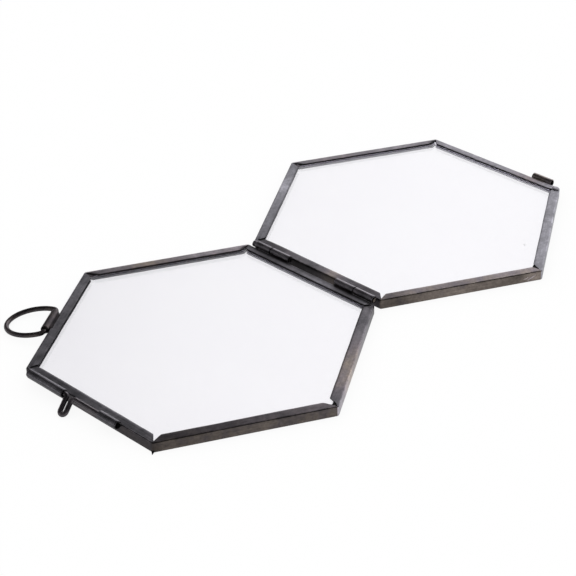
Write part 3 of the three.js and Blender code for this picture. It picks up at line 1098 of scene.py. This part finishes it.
# Marks of hand work, and dark fills of painted shade in the notches' roots
def add_mark(name, stations, shade, material, body):
    """A small closed sliver through rings of four points: middle, way to one side, lowest, highest."""
    shape = Shape()
    rings = []
    for middle, side, low, high in stations:
        rings.append([shape.point(middle + spot, **shade) for spot in (low, -side, high, side)])
    shape.solid(rings, range(len(rings)), even_steps(4))
    make_piece(name, shape, [material], body)


# The burr's rings: how far out each one is as a share of its reach, its half width and its height
BURR_RINGS = ((-0.35, 0.85, 1.3), (0.0, 0.7, 1.1), (0.4, 0.38, 0.65), (0.75, 0.2, 0.35), (1.0, 0.05, 0.12))
BURR_REACH = 1.4
BURR_CLEAR = 0.06
BURR_SHADE = {"tone": 0.03, "warm": 0.6}


def add_burr(leaf, index, material):
    """The sharp tip that is left at the foot of a folded corner."""
    out = level_way(corner_angle(index))
    across = UP.cross(out)
    corner = leaf.corner(index) - out * CORNER_RADIUS * (1 / math.cos(TURN / 2) - 1)
    stations = []
    for share, half_width, height in BURR_RINGS:
        middle = corner + out * BURR_REACH * share + UP * (BURR_CLEAR + height / 2)
        stations.append((middle, across * half_width, UP * -height / 2, UP * height / 2))
    add_mark(leaf.body + "_corner_burr", stations, BURR_SHADE, material, leaf.body)


# A dark fill in each notch's root, standing in for the shadow there: painted shade
ROOT_SHARES = (0.0, 0.3, 0.6, 0.85, 1.0)
ROOT_FOOT = 0.02
ROOT_UNDER = 0.25
ROOT_CLEAR = 0.08
ROOT_LEAST = 0.1
ROOT_WARM = 0.5


def cut_spot(leaf, index, part, inset):
    """Where the cut end of the side before or after a notch stands at an inset."""
    way = 1 if part == "before" else -1
    corner, along, right = leaf.side_from((index, (index + way) % 6))
    back = ARC_START + notch_end(leaf.notches[index], part).cut(inset, True, 0.0)
    return corner + along * back - right * way * inset


def add_notch_shade(leaf, index, material):
    """Painted shade in a notch's root: a dark fill on the pane's corner between the cut ends of both flanges.
    """
    notch = leaf.notches[index]
    level = node_box(leaf.glass)[1].z
    low, high = level + ROOT_FOOT, level + notch.fill
    half = (high - low) / 2
    edge = ROOT_UNDER if high < leaf.height - SHEET else -ROOT_CLEAR
    stations = []
    for share in ROOT_SHARES:
        inset = blend(notch.start, notch.root, share)
        first, last = [cut_spot(leaf, index, part, inset) for part in ("before", "after")]
        middle = (first + last) / 2 + UP * (low + high) / 2
        width = max((first - last).length / 2 + edge, ROOT_LEAST)
        stations.append((middle, (first - last).normalized() * width, UP * -half, UP * half))
    shade = {"tone": notch.tone, "warm": ROOT_WARM}
    add_mark(f"{leaf.body}_notch_painted_shade_{index}", stations, shade, material, leaf.body)


# The scratches: both ends along the side and up, and the width
SCRATCHES = {
    "cover_wall_scratch_long": ((2.6, 3.1), (6.9, 0.8), 0.4),
    "cover_wall_scratch_short": ((5.6, 2.6), (8.6, 1.4), 0.22),
}
SCRATCH_STEPS = 8
SCRATCH_RISE = 0.05
SCRATCH_TIP = 0.06
SCRATCH_SHADE = {"tone": 0.85, "warm": 0.5}


def add_scratch(name, leaf, corners, start, end, width, material):
    """A bright scratch with a raised lip on a wall, between two places given along the side and up."""
    origin, along, inward = leaf.side_from(corners)
    outward = -inward
    first, last = [origin + along * ahead + UP * rise for ahead, rise in (start, end)]
    across = outward.cross(last - first).normalized()
    stations = []
    for share in shares(SCRATCH_STEPS):
        swell = SCRATCH_TIP + math.sin(math.pi * share)
        stations.append((blend(first, last, share), across * (width / 2 * swell),
                         outward * -2 * SCRATCH_RISE, outward * SCRATCH_RISE * swell))
    add_mark(name, stations, SCRATCH_SHADE, material, leaf.body)


# The lump's rings: share of its reach and share of its rise
LUMP_RINGS = ((1.0, 0.0), (0.92, 0.45), (0.72, 0.8), (0.42, 0.96), (0.12, 1.0))
LUMP_STEPS = 24
LUMP_INSET = 1.9
LUMP_REACH = (1.45, 2.2)
LUMP_RISE = 0.32
LUMP_SUNK = 0.05
LUMP_UNEVEN = 0.07
LUMP_SHADE = {"tone": 0.45, "warm": 0.15}


def add_lump(leaf, index, material):
    """A rounded lump on top of a seam corner, where the end of a strip is hammered over it."""
    shape = Shape()
    inward = -level_way(corner_angle(index))
    first, second = inward * LUMP_REACH[0], inward.cross(UP) * LUMP_REACH[1]
    middle = leaf.corner(index) + inward * LUMP_INSET + UP * (leaf.height - LUMP_SUNK)
    rings = []
    for share, lift in LUMP_RINGS:
        ring = []
        for turn in turns(LUMP_STEPS):
            uneven = 1 + LUMP_UNEVEN * (math.sin(2 * turn + 1) + math.sin(3 * turn))
            spot = (first * math.cos(turn) + second * math.sin(turn)) * (uneven * share)
            ring.append(shape.point(middle + spot + UP * (LUMP_RISE + LUMP_SUNK) * lift, **LUMP_SHADE))
        rings.append(ring)
    for lower, upper in pairwise(rings):
        for one in range(LUMP_STEPS):
            two = (one + 1) % LUMP_STEPS
            shape.flat_face((lower[two], lower[one], upper[one], upper[two]))
    shape.flat_face(rings[-1], flip=True)
    shape.flat_face(rings[0])
    make_piece(f"{leaf.body}_seam_lump", shape, [material], leaf.body)


# The drop's rings: share of its radius and share of its rise
SPECK_RINGS = ((1.0, -0.4), (0.97, 0.2), (0.7, 0.75), (0.35, 1.0))
SPECK_STEPS = 12
SPECK_AT = Vector((12.6, -51.7, 0))
SPECK_RADIUS = 0.55
SPECK_RISE = 0.05
SPECK_UNEVEN = 0.25
SPECK_PITCH = 1.3


def add_speck(leaf, material):
    """A dried drop on the pane."""
    middle = leaf.centre + SPECK_AT + UP * node_box(leaf.glass)[1].z
    shape = Shape()
    rings = []
    for share, lift in SPECK_RINGS:
        ring = []
        for spoke in map(level_way, turns(SPECK_STEPS)):
            reach = SPECK_RADIUS * share * (1 + SPECK_UNEVEN * noise.noise(spoke * SPECK_PITCH))
            ring.append(shape.point(middle + spoke * reach + UP * SPECK_RISE * lift))
        rings.append(ring)
    shape.solid(rings, [0] * len(rings), [UNDRAWN] * SPECK_STEPS)
    make_piece(leaf.glass + "_speck", shape, [material], leaf.body)


# Materials
class Tree:
    """A short way to build a node tree."""

    def __init__(self, owner):
        owner.use_nodes = True
        self.tree = owner.node_tree
        self.tree.nodes.clear()

    def add(self, kind, inputs=None, **settings):
        node = self.tree.nodes.new(kind)
        for name, value in settings.items():
            setattr(node, name, value)
        for name, value in (inputs or {}).items():
            self.feed(node.inputs[name], value)
        return node

    def feed(self, socket, value):
        if isinstance(value, bpy.types.NodeSocket):
            self.tree.links.new(value, socket)
        else:
            socket.default_value = value

    def maths(self, operation, first, second=0.0, clamp=False):
        node = self.add("ShaderNodeMath", {0: first, 1: second}, operation=operation, use_clamp=clamp)
        return node.outputs[0]

    def shade(self, name):
        return self.add("ShaderNodeAttribute", attribute_name=name).outputs["Fac"]

    def place(self):
        return self.add("ShaderNodeTexCoord").outputs["Object"]

    def noise(self, vector, scale, detail, roughness):
        inputs = {"Vector": vector, "Scale": scale, "Detail": detail, "Roughness": roughness}
        return self.add("ShaderNodeTexNoise", inputs).outputs["Fac"]

    def remap(self, value, low, high, to_low=0.0, to_high=1.0):
        inputs = {"Value": value, "From Min": low, "From Max": high, "To Min": to_low, "To Max": to_high}
        return self.add("ShaderNodeMapRange", inputs).outputs["Result"]

    def mix(self, factor, first, second, mode="MIX"):
        node = self.add("ShaderNodeMix", data_type="RGBA", blend_type=mode)
        self.feed(node.inputs["Factor"], factor)
        self.feed(node.inputs[6], first)
        self.feed(node.inputs[7], second)
        return node.outputs[2]

    def surface(self, shader):
        self.add("ShaderNodeOutputMaterial", {"Surface": shader.outputs[0]})


def new_material(name):
    material = bpy.data.materials.new(name)
    return material, Tree(material)


def colour(red, green, blue):
    return (red, green, blue, 1.0)


def grey(level):
    return colour(level, level, level)


WHITE = grey(1.0)
COOL_TINT = colour(0.985, 0.965, 1.075)
MAUVE_TINT = colour(1.06, 0.935, 1.02)
BROWN_TINT = colour(1.15, 0.975, 0.87)
# The dark olive of the marks round the tubes: heat tint, and painted shade as well
HEAT_AND_SHADE_TINT = colour(0.40, 0.34, 0.22)
DULL_EDGE = grey(0.75)
MAUVE_WARMTH = 0.5

# Textures of the patina: scale, detail and roughness, the reach about the middle, and the depth
STREAK_STRETCH = (70.0, 1500.0, 1.0)
STREAKS = ((1.0, 4.0, 0.65), 0.25, 0.28)
BLOTCHES = ((190.0, 4.0, 0.6), 0.2, 0.26)
CLOUDS = ((60.0, 3.0, 0.5), 0.2, 0.16)
GRAIN = ((800.0, 3.0, 0.7), 0.2, 0.22)

# How the blotches steer wear, warmth, and scorching with its painted shade: their range, and what it becomes
WEAR = (0.4, 0.65, 0.0, 0.5)
WARM_SPREAD = (0.35, 0.65, 0.7, 1.3)
SCORCH_AND_SHADE_SPREAD = (0.3, 0.65, 0.6, 1.1)
ROUGH_RANGE = (0.6, 1.4)
STREAK_BUMP = 0.35
BUMP_DISTANCE = 0.00006


def patina_colour(tree, tone, uneven):
    """Reflectance of patinated metal: brushed streaks, grain, mottling, brown patches, heat marks and painted
    shade.
    """
    place = tree.place()
    drawing = tree.add("ShaderNodeUVMap", uv_map="strip").outputs[0]
    brushed = tree.add("ShaderNodeMapping", {"Vector": drawing, "Scale": STREAK_STRETCH}).outputs[0]
    level = tone
    textures = []
    layers = ((BLOTCHES, place), (STREAKS, brushed), (CLOUDS, place), (GRAIN, place))
    for (grain, reach, depth), vector in layers:
        texture = tree.noise(vector, *grain)
        depth *= uneven
        change = tree.remap(texture, 0.5 - reach, 0.5 + reach, 1 - depth, 1 + depth)
        level = tree.maths("MULTIPLY", level, change)
        textures.append(texture)
    blotches, streaks = textures[:2]
    worn = tree.maths("MULTIPLY", tree.shade("edge"), tree.remap(blotches, *WEAR))
    level = tree.maths("MULTIPLY", level, tree.maths("ADD", worn, 1.0))
    plain = tree.add("ShaderNodeCombineColor", {"Red": level, "Green": level, "Blue": level}).outputs[0]
    warmth = tree.maths("MULTIPLY", tree.shade("warm"), tree.remap(blotches, *WARM_SPREAD))
    mauve = tree.mix(tree.remap(warmth, 0.0, MAUVE_WARMTH), COOL_TINT, MAUVE_TINT)
    tint = tree.mix(tree.remap(warmth, MAUVE_WARMTH, 1.0), mauve, BROWN_TINT)
    tinted = tree.mix(1.0, plain, tint, "MULTIPLY")
    scorched_and_shaded = tree.mix(1.0, tinted, HEAT_AND_SHADE_TINT, "MULTIPLY")
    scorch_and_shade = tree.maths("MULTIPLY", tree.shade("heat"), tree.remap(blotches, *SCORCH_AND_SHADE_SPREAD), clamp=True)
    return tree.mix(scorch_and_shade, tinted, scorched_and_shaded), streaks, blotches


def patina_material(name, shade, metallic, roughness, bump, uneven=1.0):
    """Dark antique patina on metal, brushed along the strip."""
    material, tree = new_material(name)
    reflectance, streaks, blotches = patina_colour(tree, tree.shade(shade), uneven)
    height = tree.maths("ADD", tree.maths("MULTIPLY", streaks, STREAK_BUMP), blotches)
    bumps = tree.add("ShaderNodeBump", {"Strength": bump, "Distance": BUMP_DISTANCE, "Height": height})
    tree.surface(tree.add("ShaderNodeBsdfPrincipled", {
        "Base Color": reflectance,
        "Metallic": metallic,
        "Roughness": tree.remap(tree.maths("ADD", streaks, blotches), *ROUGH_RANGE, *roughness),
        "Normal": bumps.outputs[0],
        "Specular Tint": DULL_EDGE,
    }))
    return material


GLASS_TINT = colour(0.968, 0.958, 0.995)
GLASS_CLEAR = colour(0.976, 0.968, 1.0)
GLASS_SHADOW = colour(0.96, 0.955, 0.97)
SMEARS = (28.0, 3.0, 0.6)
SMEAR_ROUGH = (0.45, 0.75, 0.0, 0.03)
SMEAR_TINT = (0.3, 0.7)
DUST = (900.0, 1.0, 0.5)
DUST_ROUGH = (0.80, 0.84, 0.0, 0.25)


def glass_material():
    """Clear float glass with faint smears. Shadow rays pass through it."""
    material, tree = new_material("clear_float_glass")
    place = tree.place()
    smears = tree.noise(place, *SMEARS)
    dust = tree.remap(tree.noise(place, *DUST), *DUST_ROUGH)
    shader = tree.add("ShaderNodeBsdfPrincipled", {
        "Base Color": tree.mix(tree.remap(smears, *SMEAR_TINT), GLASS_TINT, GLASS_CLEAR),
        "Roughness": tree.maths("ADD", tree.remap(smears, *SMEAR_ROUGH), dust),
        "IOR": 1.5,
        "Transmission Weight": 1.0,
        "Coat Weight": 1.0,
        "Coat Roughness": 0.0,
    })
    clear = tree.add("ShaderNodeBsdfTransparent", {"Color": GLASS_SHADOW})
    shadow = tree.add("ShaderNodeLightPath").outputs["Is Shadow Ray"]
    tree.surface(tree.add("ShaderNodeMixShader", {0: shadow, 1: shader.outputs[0], 2: clear.outputs[0]}))
    return material


DROP_CLOUD = (4000.0, 3.0, 0.6)
DROP_ROUGH = (0.3, 0.7, 0.3, 0.6)
DROP_TINTS = (colour(0.92, 0.92, 0.93), colour(0.98, 0.98, 0.99))


def drop_material():
    """A dried water drop, cloudy and pale."""
    material, tree = new_material("dried_drop")
    cloud = tree.noise(tree.place(), *DROP_CLOUD)
    tree.surface(tree.add("ShaderNodeBsdfPrincipled", {
        "Base Color": tree.mix(cloud, *DROP_TINTS),
        "Roughness": tree.remap(cloud, *DROP_ROUGH),
        "IOR": 1.33,
        "Transmission Weight": 0.35,
    }))
    return material


# Stage
FLOOR_HALF = 4.0
FLOOR_DROP = 0.00005
FLOOR_PAPER = grey(0.99)
FLOOR_GLOW = 0.9


def add_floor():
    """A plain white floor that keeps a soft shadow."""
    mesh = bpy.data.meshes.new("floor")
    corners = [(x * FLOOR_HALF, y * FLOOR_HALF, -FLOOR_DROP) for x, y in ((-1, -1), (1, -1), (1, 1), (-1, 1))]
    mesh.from_pydata(corners, [], [(0, 1, 2, 3)])
    floor = link("floor", mesh)
    material, tree = new_material("white_floor")
    rays = tree.add("ShaderNodeLightPath").outputs
    through = tree.maths("MAXIMUM", rays["Is Glossy Ray"], rays["Is Transmission Ray"])
    seen = tree.maths("MAXIMUM", rays["Is Camera Ray"], through)
    paper = tree.add("ShaderNodeBsdfDiffuse", {"Color": FLOOR_PAPER})
    glow = tree.add("ShaderNodeEmission", {"Color": WHITE, "Strength": 1.0})
    share = tree.maths("MULTIPLY", seen, FLOOR_GLOW)
    tree.surface(tree.add("ShaderNodeMixShader", {0: share, 1: paper.outputs[0], 2: glow.outputs[0]}))
    mesh.materials.append(material)


# The studio that shiny surfaces show: a low white backdrop, dark above it, to its left and behind the camera.
# Its brightness by the sine of the height angle, and by the direction as a share of a turn from -X.
STUDIO_HEIGHT = ((0.0, 1.0), (0.59, 1.0), (0.605, 0.85), (0.62, 0.5), (0.635, 0.2), (0.655, 0.08),
                 (0.8, 0.06), (1.0, 0.08))
STUDIO_SIDES = ((0.40, 0.12), (0.5, 1.0), (0.605, 1.0), (0.617, 0.85), (0.631, 0.66), (0.638, 0.46),
                (0.645, 0.25), (0.66, 0.12))


def level_ramp(tree, value, levels):
    """Grey levels along a value from 0 to 1."""
    ramp = tree.add("ShaderNodeValToRGB", {"Fac": value})
    stops = ramp.color_ramp.elements
    while len(stops) < len(levels):
        stops.new(0.5)
    for stop, (place, level) in zip(stops, levels):
        stop.position = place
        stop.color = grey(level)
    return ramp.outputs["Color"]


def add_world():
    """Even soft light, with a bounded backdrop for what shiny surfaces reflect."""
    world = bpy.data.worlds.new("studio")
    bpy.context.scene.world = world
    tree = Tree(world)
    rays = tree.add("ShaderNodeLightPath").outputs
    shiny = tree.maths("SUBTRACT", rays["Is Glossy Ray"], rays["Is Transmission Ray"], clamp=True)
    direction = tree.add("ShaderNodeTexCoord").outputs["Generated"]
    parts = tree.add("ShaderNodeSeparateXYZ", {0: direction}).outputs
    turn = tree.remap(tree.maths("ARCTAN2", parts["Y"], parts["X"]), -math.pi, math.pi)
    height_levels = level_ramp(tree, parts["Z"], STUDIO_HEIGHT)
    backdrop = tree.mix(1.0, height_levels, level_ramp(tree, turn, STUDIO_SIDES), "MULTIPLY")
    seen = tree.mix(shiny, WHITE, backdrop)
    background = tree.add("ShaderNodeBackground", {"Color": seen, "Strength": 1.0})
    tree.add("ShaderNodeOutputWorld", {"Surface": background.outputs[0]})


# Camera, placed from the middle of the hinge
CAMERA_FROM_HINGE = Vector((-454.84, -420.36, 392.14))
CAMERA_FORWARD = Vector((0.609339, 0.58215, -0.538338))
CAMERA_RIGHT = Vector((0.682421, -0.730742, -0.017788))
CAMERA_LENS = 111.459
CAMERA_SENSOR = 36.0
CAMERA_CLIP = 0.01


def add_camera():
    """A camera at the photograph's viewing angle."""
    low, high = node_box("hinge_pin_far", "hinge_pin_near")
    hinge = Vector(((low.x + high.x) / 2, (low.y + high.y) / 2, 0))
    data = bpy.data.cameras.new("camera")
    data.lens = CAMERA_LENS
    data.sensor_width = CAMERA_SENSOR
    data.clip_start = CAMERA_CLIP
    camera = link("camera", data)
    back = -CAMERA_FORWARD.normalized()
    right = CAMERA_RIGHT.normalized()
    turn = Matrix((right, back.cross(right), back)).transposed().to_4x4()
    camera.matrix_world = Matrix.Translation((hinge + CAMERA_FROM_HINGE) * MM) @ turn
    bpy.context.scene.camera = camera


# Build
STRIP_SEED = 100
TUBE_SEED = 500
BEAD_SEED = 700
SEED_STEP = 9

outer_metal = patina_material("patina_outer", "tone", metallic=1.0, roughness=(0.26, 0.44), bump=0.3)
inner_metal = patina_material("patina_inner", "inside", metallic=0.15, roughness=(0.45, 0.65), bump=0.05,
                              uneven=0.15)
# The dark material of the notches' fills: painted shade
notch_shade_metal = patina_material("painted_notch_shade", "tone", metallic=0.2, roughness=(0.6, 0.8), bump=0.2)
edge_metal = patina_material("patina_cut_edge", "cut", metallic=0.6, roughness=(0.4, 0.6), bump=0.1,
                             uneven=0.3)
wire_metal = patina_material("patina_wire", "tone", metallic=1.0, roughness=(0.24, 0.38), bump=0.25)
glass = glass_material()
sheet_metals = [outer_metal, inner_metal, edge_metal]

for order, leaf in enumerate((base, cover)):
    seed = STRIP_SEED * (1 + 2 * order)
    add_strip(leaf, leaf.upper, UPPER_PATH, True, seed, sheet_metals)
    add_strip(leaf, leaf.lower, LOWER_PATH, False, seed + STRIP_SEED, sheet_metals)
    add_glass(leaf, glass)
for order, tube in enumerate(tubes):
    add_tube(tube, outer_metal, TUBE_SEED + order * SEED_STEP)
    add_bead(tube, outer_metal, BEAD_SEED + order * SEED_STEP)
for node, look in PIN_LOOKS.items():
    add_wire(node, pin_path(node), UP, "base_leaf", look, wire_metal)
add_wire("hanging_ring", *ring_path(), "ring", RING_LOOK, wire_metal)
add_wire("latch_bolt", *bolt_path(), "bolt", BOLT_LOOK, wire_metal)

add_burr(base, LOWER_LEFT, outer_metal)
add_lump(cover, LOWER_RIGHT, outer_metal)
for leaf in (base, cover):
    for index, notch in leaf.notches.items():
        if notch.root:
            add_notch_shade(leaf, index, notch_shade_metal)
for name, scratch in SCRATCHES.items():
    add_scratch(name, cover, (BOTTOM, LOWER_LEFT), *scratch, outer_metal)
add_speck(cover, drop_material())

add_floor()
add_world()
add_camera()
bpy.context.scene.view_settings.view_transform = "Standard"
